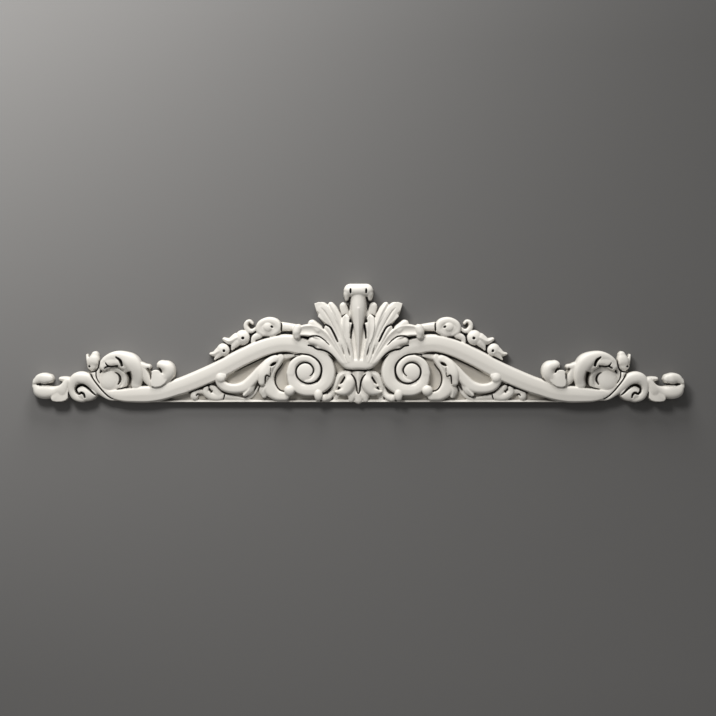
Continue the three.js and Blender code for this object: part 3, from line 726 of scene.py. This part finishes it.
# %% [markdown]
# A cast piece with a coat of paint has no sharp creases. The cut skin is remeshed once more and smoothed a
# little. The points at the back are then pressed flat into the plane of the wall, because a scale of zero
# keeps the skin closed, where a cut would leave a hole to fill.

# %% Soften, and press the back flat
BACK_REACH = 0.3
apply_modifier(half, "REMESH", mode="VOXEL", voxel_size=VOXEL)
apply_modifier(half, "SMOOTH", factor=0.5, iterations=2)
select_only(half)
near_back = read_all(half.data.vertices, "co")[:, 1] > -BACK_REACH * MM
bpy.ops.object.mode_set(mode="EDIT")
bpy.ops.mesh.select_mode(type="VERT")
bpy.ops.mesh.select_all(action="DESELECT")
bpy.ops.object.mode_set(mode="OBJECT")
half.data.vertices.foreach_set("select", near_back)
bpy.ops.object.mode_set(mode="EDIT")
bpy.ops.transform.resize(value=(1, 0, 1), center_override=(0, 0, 0))
bpy.ops.object.mode_set(mode="OBJECT")
print("flat back with", int(near_back.sum()), "points")

# %% [markdown]
# The two halves of the real pattern are mirror images, so one half is finished and then mirrored. It is
# first thinned to fewer faces, since flat places need few.

# %% Thin out
HALF_TRIANGLES = 98000
triangles = sum(len(p.vertices) - 2 for p in half.data.polygons)
apply_modifier(half, "DECIMATE", ratio=min(1.0, HALF_TRIANGLES / triangles))
print("half thinned to", len(half.data.polygons), "faces")

# %% [markdown]
# Shade falls in the hollows of the carving, and the paint darkens them with painted shade. The mesh itself
# can
# tell where that is: from each point a fan of rays is sent out, and the share that soon meets the casting
# again tells how sheltered the point is. The answer is kept on the mesh as an attribute, which the paint will
# read.

# %% Measure how sheltered each point is
from mathutils import Vector
from mathutils.bvhtree import BVHTree

RAYS = 28
RAY_REACH = 11 * MM
START_GAP = 0.05 * MM
ON_WALL = 0.2 * MM
GOLDEN_TURN = 2.399963
WIDEST_LEAN = 0.985


def ray_fan(count):
    """Directions over a half sphere about +Z, closer together near its pole."""
    fan = []
    for i in range(count):
        lean = math.sqrt((i + 0.5) / count) * WIDEST_LEAN
        spin = i * GOLDEN_TURN
        fan.append(Vector((lean * math.cos(spin), lean * math.sin(spin), math.sqrt(1 - lean * lean))))
    return fan


def shelter(form):
    tree = BVHTree.FromObject(form, bpy.context.evaluated_depsgraph_get())
    fan = ray_fan(RAYS)
    found = np.zeros(len(form.data.vertices))
    for i, point in enumerate(form.data.vertices):
        if point.co.y > -ON_WALL:
            continue
        turn = point.normal.to_track_quat("Z", "Y")
        start = point.co + point.normal * START_GAP
        for ray in fan:
            hit = tree.ray_cast(start, turn @ ray, RAY_REACH)
            if hit[0] is not None:
                found[i] += 1 - hit[3] / RAY_REACH
    return found / RAYS


# The shelter tells the paint where to put painted shade, darker in the hollows.
sheltered = shelter(half)
layer = half.data.attributes.new("shelter", "FLOAT", "POINT")
layer.data.foreach_set("value", sheltered)
print("mean shelter", round(float(sheltered.mean()), 3), "most", round(float(sheltered.max()), 3))

# %% [markdown]
# The half is cut on the centre line and mirrored, and the seam is merged, so the casting is one closed skin.
# Where the cut leaves a sliver that the merge can't reach, filling holes of up to eight sides closes it.

# %% Mirror
SEAM_MERGE = 0.05 * MM
DOUBLE_MERGE = 0.005 * MM
SLIVER_SIDES = 8
SHARP_ANGLE = 50
select_only(half)
edit_all()
bpy.ops.mesh.bisect(plane_co=(0, 0, 0), plane_no=(-1, 0, 0), clear_outer=True)
bpy.ops.object.mode_set(mode="OBJECT")
apply_modifier(half, "MIRROR", use_axis=(True, False, False), use_mirror_merge=True,
               merge_threshold=SEAM_MERGE)
casting = half
select_only(casting)
edit_all()
bpy.ops.mesh.remove_doubles(threshold=DOUBLE_MERGE)
bpy.ops.mesh.fill_holes(sides=SLIVER_SIDES)
bpy.ops.mesh.normals_make_consistent(inside=False)
bpy.ops.mesh.select_all(action="DESELECT")
bpy.ops.mesh.select_non_manifold()
bpy.ops.object.mode_set(mode="OBJECT")
loose = sum(v.select for v in casting.data.vertices)
bpy.ops.object.shade_smooth_by_angle(angle=math.radians(SHARP_ANGLE))
print("casting", sum(len(p.vertices) - 2 for p in casting.data.polygons), "triangles,", loose, "open points")

# %% [markdown]
# Crests catch the light, so the paint gets a painted highlight there, a lighter tone. A point stands on a
# crest when it lies above the mean of its neighbourhood.

# %% Measure the crests
CREST_ROUNDS = 10
CREST_START = 0.15


def crest_height(form, rounds):
    points = read_all(form.data.vertices, "co")
    normals = read_all(form.data.vertices, "normal")
    a, b = read_all(form.data.edges, "vertices", 2, int).T
    count = np.bincount(a, minlength=len(points)) + np.bincount(b, minlength=len(points))
    count = np.maximum(count, 1)

    def mean(values):
        return (np.bincount(a, values[b], len(points)) + np.bincount(b, values[a], len(points))) / count

    smooth = points.copy()
    for _ in range(rounds):
        smooth = np.column_stack([mean(smooth[:, k]) for k in range(3)])
    height = ((points - smooth) * normals).sum(axis=1)
    return mean(mean(height))


height = crest_height(casting, CREST_ROUNDS)
# The crest attribute tells the paint where to put a painted highlight.
layer = casting.data.attributes.new("crest", "FLOAT", "POINT")
layer.data.foreach_set("value", np.clip(height / MM - CREST_START, 0, 1))
print("crest points", int((height > 0.5 * MM).sum()))

# %% [markdown]
# The finish is a satin off-white paint over the cast foam. Three effects are shared by the painted face and
# the bare back, so each is a node group: a slow drift of tone, a fine grain of the paint film, and painted
# shade and highlight, darker in the hollows and on the low ground and lighter on the crests. Small helpers
# add and link the nodes, as dragging them would.

# %% Helpers for the shader groups


def new_group(name, inputs, outputs):
    group = bpy.data.node_groups.new(name, "ShaderNodeTree")
    for label, kind, value in inputs:
        socket = group.interface.new_socket(label, in_out="INPUT", socket_type=kind)
        socket.default_value = value
    for label, kind in outputs:
        group.interface.new_socket(label, in_out="OUTPUT", socket_type=kind)
    start = group.nodes.new("NodeGroupInput")
    end = group.nodes.new("NodeGroupOutput")
    return group, start.outputs, end.inputs


def add_node(tree, kind, links=(), **values):
    """A node with its links. A key such as in_1 sets the plain value of input 1."""
    node = tree.nodes.new(kind)
    for key, value in values.items():
        if key.startswith("in_"):
            node.inputs[int(key[3:])].default_value = value
        else:
            setattr(node, key, value)
    for socket, source in links:
        tree.links.new(source, node.inputs[socket])
    return node


def calculate(tree, operation, *parts):
    """A Math node. Each part is another node's output or a plain number."""
    node = add_node(tree, "ShaderNodeMath", operation=operation)
    for i, part in enumerate(parts):
        if isinstance(part, bpy.types.NodeSocket):
            tree.links.new(part, node.inputs[i])
        else:
            node.inputs[i].default_value = part
    return node.outputs[0]


def mix_colors(tree, factor, first, second):
    mix = add_node(tree, "ShaderNodeMix", data_type="RGBA")
    for socket, source in [("Factor", factor), (6, first), (7, second)]:
        tree.links.new(source, mix.inputs[socket])
    return mix.outputs[2]


COLOR = "NodeSocketColor"
FLOAT = "NodeSocketFloat"
print("helpers for groups ready")

# %% [markdown]
# No painted surface has quite one tone. A slow noise moves the paint a little towards a second shade.

# %% The drift of tone
DRIFT_NONE = 0.35
DRIFT_FULL = 0.7
tone, tone_in, tone_out = new_group(
    "tone_drift", [("Color", COLOR, (0.8, 0.8, 0.8, 1)), ("Shade", COLOR, (0, 0, 0, 1)),
                   ("Scale", FLOAT, 8.0), ("Amount", FLOAT, 0.1)], [("Color", COLOR)])
coords = add_node(tone, "ShaderNodeTexCoord")
cloud = add_node(tone, "ShaderNodeTexNoise", [("Vector", coords.outputs["Object"]),
                                              ("Scale", tone_in["Scale"])])
cloud.inputs["Detail"].default_value = 4
spread = add_node(tone, "ShaderNodeMapRange", [("Value", cloud.outputs["Fac"])], in_1=DRIFT_NONE,
                  in_2=DRIFT_FULL)
share = calculate(tone, "MULTIPLY", spread.outputs["Result"], tone_in["Amount"])
tone.links.new(mix_colors(tone, share, tone_in["Color"], tone_in["Shade"]), tone_out["Color"])
print("group", tone.name)

# %% [markdown]
# A sprayed film is never quite smooth: a fine noise gives it its grain, and a slower one its gentle waves.
# The same waves make the gloss a little uneven.

# %% The grain of the paint film
grain, grain_in, grain_out = new_group(
    "paint_grain", [("Scale", FLOAT, 900.0), ("Soft", FLOAT, 60.0), ("Base", FLOAT, 0.5),
                    ("Range", FLOAT, 0.1)], [("Height", FLOAT), ("Roughness", FLOAT)])
coords = add_node(grain, "ShaderNodeTexCoord")
fine, slow = [add_node(grain, "ShaderNodeTexNoise", [("Vector", coords.outputs["Object"]),
                                                     ("Scale", grain_in[size])])
              for size in ("Scale", "Soft")]
total = calculate(grain, "ADD", fine.outputs["Fac"], slow.outputs["Fac"])
rough = calculate(grain, "MULTIPLY_ADD", slow.outputs["Fac"], grain_in["Range"], grain_in["Base"])
grain.links.new(total, grain_out["Height"])
grain.links.new(rough, grain_out["Roughness"])
print("group", grain.name)

# %% [markdown]
# The third group reads the two attributes on the mesh and paints light and shade into the colour: painted
# shade darker in the hollows, a painted highlight lighter on the crests, and painted shade darker on the
# ground, which is the low plate behind the carving and is known by its depth.

# %% Painted shade and highlight
# Painted shade darkens the ground and the hollows, and a painted highlight lightens the crests.
GROUND_FULL = -0.0092
GROUND_NONE = -0.011
HOLLOW_NONE = 0.18
HOLLOW_FULL = 0.46
painted_light, painted_light_in, painted_light_out = new_group(
    "painted_shade_and_highlight", [("Color", COLOR, (0.8, 0.8, 0.8, 1)), ("Hollow shade color", COLOR, (0.3, 0.27, 0.23, 1)),
                     ("Crest highlight color", COLOR, (0.9, 0.9, 0.9, 1)),
                     ("Ground shade color", COLOR, (0.4, 0.37, 0.32, 1)), ("Hollow shade amount", FLOAT, 0.5),
                     ("Crest highlight amount", FLOAT, 0.3), ("Ground shade amount", FLOAT, 0.5)],
    [("Color", COLOR), ("Hollow", FLOAT)])
in_shelter = add_node(painted_light, "ShaderNodeAttribute", attribute_name="shelter")
in_hollow = add_node(painted_light, "ShaderNodeMapRange", [("Value", in_shelter.outputs["Fac"])],
                     interpolation_type="SMOOTHSTEP", in_1=HOLLOW_NONE, in_2=HOLLOW_FULL)
on_crest = add_node(painted_light, "ShaderNodeAttribute", attribute_name="crest")
coords = add_node(painted_light, "ShaderNodeTexCoord")
split = add_node(painted_light, "ShaderNodeSeparateXYZ", [(0, coords.outputs["Object"])])
near_wall = add_node(painted_light, "ShaderNodeMapRange", [(0, split.outputs["Y"])], in_1=GROUND_NONE,
                     in_2=GROUND_FULL)
share = calculate(painted_light, "MULTIPLY", in_hollow.outputs["Result"], painted_light_in["Hollow shade amount"])
lift = calculate(painted_light, "MULTIPLY", on_crest.outputs["Fac"], painted_light_in["Crest highlight amount"])
low_share = calculate(painted_light, "MULTIPLY", near_wall.outputs["Result"], painted_light_in["Ground shade amount"])
ground = mix_colors(painted_light, low_share, painted_light_in["Color"], painted_light_in["Ground shade color"])
darker = mix_colors(painted_light, share, ground, painted_light_in["Hollow shade color"])
lighter = mix_colors(painted_light, lift, darker, painted_light_in["Crest highlight color"])
painted_light.links.new(lighter, painted_light_out["Color"])
painted_light.links.new(share, painted_light_out["Hollow"])
print("group", painted_light.name)

# %% [markdown]
# The painted face takes all three groups. The back is the bare skin of the foam, a little yellower and
# duller, as it comes off the mould. Both keep the Principled shader in the material itself.

# %% The two finishes


def finish_material(name, color, shade, hollow_shade_color, crest_highlight_color, amounts, rough, grain_depth):
    """The amounts are those of the drift, the painted hollow shade, the painted crest highlight and the
    painted ground shade.
    """
    material = bpy.data.materials.new(name)
    material.use_nodes = True
    tree = material.node_tree
    shader = tree.nodes["Principled BSDF"]
    drift = add_node(tree, "ShaderNodeGroup", node_tree=tone)
    # This group paints shade into the hollows and on the ground, and a highlight on the crests.
    painted_shading = add_node(tree, "ShaderNodeGroup", [("Color", drift.outputs["Color"])], node_tree=painted_light)
    film = add_node(tree, "ShaderNodeGroup", node_tree=grain)
    bump = add_node(tree, "ShaderNodeBump", [("Height", film.outputs["Height"])])
    for node, label, value in [
            (drift, "Color", (*color, 1)), (drift, "Shade", (*shade, 1)), (drift, "Scale", 9.0),
            (drift, "Amount", amounts[0]), (painted_shading, "Hollow shade color", (*hollow_shade_color, 1)),
            (painted_shading, "Crest highlight color", (*crest_highlight_color, 1)), (painted_shading, "Hollow shade amount", amounts[1]),
            (painted_shading, "Crest highlight amount", amounts[2]), (painted_shading, "Ground shade amount", amounts[3]), (film, "Base", rough),
            (film, "Range", 0.14), (bump, "Strength", 0.35), (bump, "Distance", grain_depth * MM),
            (shader, "IOR", 1.48)]:
        node.inputs[label].default_value = value
    tree.links.new(painted_shading.outputs["Color"], shader.inputs["Base Color"])
    tree.links.new(film.outputs["Roughness"], shader.inputs["Roughness"])
    tree.links.new(bump.outputs["Normal"], shader.inputs["Normal"])
    return material


# The near-black hollow colour is painted shade and the lighter crest colour a painted highlight; the back
# gets a milder painted shade in its hollows.
painted = finish_material("satin_off_white", (0.725, 0.7, 0.65), (0.67, 0.632, 0.575), (0.05, 0.04, 0.03),
                          (0.74, 0.717, 0.67), (0.3, 0.95, 0.4, 0.85), 0.42, 0.12)
bare_back = finish_material("bare_foam_skin", (0.70, 0.64, 0.53), (0.58, 0.51, 0.40), (0.4, 0.35, 0.27),
                            (0.7, 0.64, 0.53), (0.6, 0.3, 0.0, 0.0), 0.62, 0.3)
print("finishes", painted.name, "and", bare_back.name)

# %% [markdown]
# The two finishes are given out by faces: those that face back and lie in the wall's plane are bare.

# %% Give out the finishes
FACING_BACK = 0.95
BACK_SKIN = 0.0003
casting.data.materials.clear()
casting.data.materials.append(painted)
casting.data.materials.append(bare_back)
facing = read_all(casting.data.polygons, "normal")[:, 1]
standing = read_all(casting.data.polygons, "center")[:, 1]
on_back = (facing > FACING_BACK) & (standing > -BACK_SKIN)
casting.data.polygons.foreach_set("material_index", on_back.astype(np.int32))
casting.data.update()
print("bare back on", int(on_back.sum()), "of", len(on_back), "faces")

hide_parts("applique")
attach(casting, "root")

# %% [markdown]
# The ornament hangs on a plain grey wall over a pale floor. The wall is seen from the front only, so that
# the back of the casting can be looked at through it, and it lets very short rays through, so that light
# reaches a back that touches it. Light and shade are painted into its colour: lighter at the upper left and
# darker at the upper right, in a smooth grade, as the light falls in a real room.

# %% Wall and floor
WALL_GREY = (0.138, 0.136, 0.134)
# Painted shade and painted light on the wall: its grey is scaled by these at the two ends of the grade.
WALL_DARKEST = 0.5
WALL_LIGHTEST = 1.6
WALL_SIZE = 8.0
WALL_BEHIND = 0.0006
BACK_LIGHT_GAP = 0.0015
GRADE_ACROSS = {"in_1": -1.0, "in_2": 0.6, "in_3": 1.0, "in_4": 0.0}
GRADE_UP = {"in_1": -0.57, "in_2": 0.6}
GRADE_CURVE = 2.0
GRADE_TURN = -1.38
GRADE_START = 0.444
GRADE_MIDDLE = 0.52
FLOOR_PALE = (0.62, 0.61, 0.59)
FLOOR_SIZE = 120.0
FLOOR_HEIGHT = -3.1


# Paints a grade of light and shade into the wall's colour.
def paint_light_grade_on_wall(tree, shader):
    coords = add_node(tree, "ShaderNodeTexCoord")
    split = add_node(tree, "ShaderNodeSeparateXYZ", [(0, coords.outputs["Object"])])
    across = add_node(tree, "ShaderNodeMapRange", [(0, split.outputs[0])], **GRADE_ACROSS)
    high = add_node(tree, "ShaderNodeMapRange", [(0, split.outputs[1])], **GRADE_UP)
    curved = calculate(tree, "POWER", across.outputs[0], GRADE_CURVE)
    signed = calculate(tree, "MULTIPLY_ADD", curved, GRADE_TURN, GRADE_START)
    fall = calculate(tree, "MULTIPLY", signed, high.outputs[0])
    share = calculate(tree, "SUBTRACT", GRADE_MIDDLE, fall)
    paint = add_node(tree, "ShaderNodeMix", [("Factor", share)], data_type="RGBA",
                     in_6=(*[c * WALL_DARKEST for c in WALL_GREY], 1),
                     in_7=(*[c * WALL_LIGHTEST for c in WALL_GREY], 1))
    tree.links.new(paint.outputs[2], shader.inputs["Base Color"])


def open_wall(tree, shader):
    """Makes the wall clear from behind, and clear for rays that start very close to it."""
    clear = add_node(tree, "ShaderNodeBsdfTransparent")
    side = add_node(tree, "ShaderNodeNewGeometry")
    path = add_node(tree, "ShaderNodeLightPath")
    near = calculate(tree, "LESS_THAN", path.outputs["Ray Length"], BACK_LIGHT_GAP)
    either = calculate(tree, "MAXIMUM", side.outputs["Backfacing"], near)
    mix = add_node(tree, "ShaderNodeMixShader", [(0, either), (1, shader.outputs[0]), (2, clear.outputs[0])])
    tree.links.new(mix.outputs[0], tree.nodes["Material Output"].inputs["Surface"])


def stage_plane(name, size, location, rotation, color):
    start_clean()
    bpy.ops.mesh.primitive_plane_add(size=size, location=location, rotation=rotation)
    plane = bpy.context.active_object
    plane.name = name
    material = bpy.data.materials.new(name + "_paint")
    material.use_nodes = True
    shader = material.node_tree.nodes["Principled BSDF"]
    shader.inputs["Base Color"].default_value = (*color, 1)
    shader.inputs["Roughness"].default_value = 0.8
    plane.data.materials.append(material)
    return material.node_tree, shader


wall_nodes = stage_plane("wall", WALL_SIZE, (0, WALL_BEHIND, 0), (math.pi / 2, 0, 0), WALL_GREY)
paint_light_grade_on_wall(*wall_nodes)
open_wall(*wall_nodes)
stage_plane("floor", FLOOR_SIZE, (0, 0, FLOOR_HEIGHT), (0, 0, 0), FLOOR_PALE)
print("wall and floor staged")

# %% [markdown]
# Two large soft lights do the work of a window high on the left and a pale ceiling. The room's own even
# light fills the shadows, so that they stay soft.

# %% Lights
ROOM_LIGHT = 0.28


def soft_light(name, location, target, size, energy, color):
    start_clean()
    bpy.ops.object.light_add(type="AREA", location=location)
    lamp = bpy.context.active_object
    lamp.name = name
    lamp.data.size = size
    lamp.data.energy = energy
    lamp.data.color = color
    aim = [t - l for t, l in zip(target, location)]
    lamp.rotation_euler = Vector(aim).to_track_quat("-Z", "Y").to_euler()
    return lamp


soft_light("window_left", (-0.8, -1.6, 1.4), (0.0, 0, 0.0), 0.6, 34, (1.0, 0.985, 0.96))
soft_light("ceiling", (-0.1, -0.6, 1.7), (0.0, 0, 0.0), 0.8, 27, (1.0, 0.99, 0.975))
world = bpy.context.scene.world or bpy.data.worlds.new("room")
bpy.context.scene.world = world
world.use_nodes = True
room = world.node_tree.nodes["Background"]
room.inputs["Color"].default_value = (1.0, 1.0, 1.0, 1)
room.inputs["Strength"].default_value = ROOM_LIGHT
print("two soft lights and the room's own light")

# %% [markdown]
# The photograph is taken straight on, from far enough away that nothing is seen from the side. A long lens
# several metres off does the same. The picture is 716 by 716 points, and 1.836 mm on the ornament is one.

# %% The camera
PICTURE = 716
MM_A_POINT = 1.836
LENS = 100.0
SENSOR = 36.0
AIM_DEPTH = 18
CENTRE_OUT = (358.0 - 358.4) * MM_A_POINT
CENTRE_UP = (402.3 - 358.0) * MM_A_POINT
frame_width = PICTURE * MM_A_POINT * MM
distance = frame_width * LENS / SENSOR
start_clean()
bpy.ops.object.camera_add(location=place(CENTRE_OUT, CENTRE_UP, distance / MM + AIM_DEPTH),
                          rotation=(math.pi / 2, 0, 0))
camera = bpy.context.active_object
camera.data.lens = LENS
camera.data.clip_end = 200
bpy.context.scene.camera = camera
bpy.context.scene.view_settings.view_transform = "Standard"
print("camera", round(distance, 3), "m from the casting")
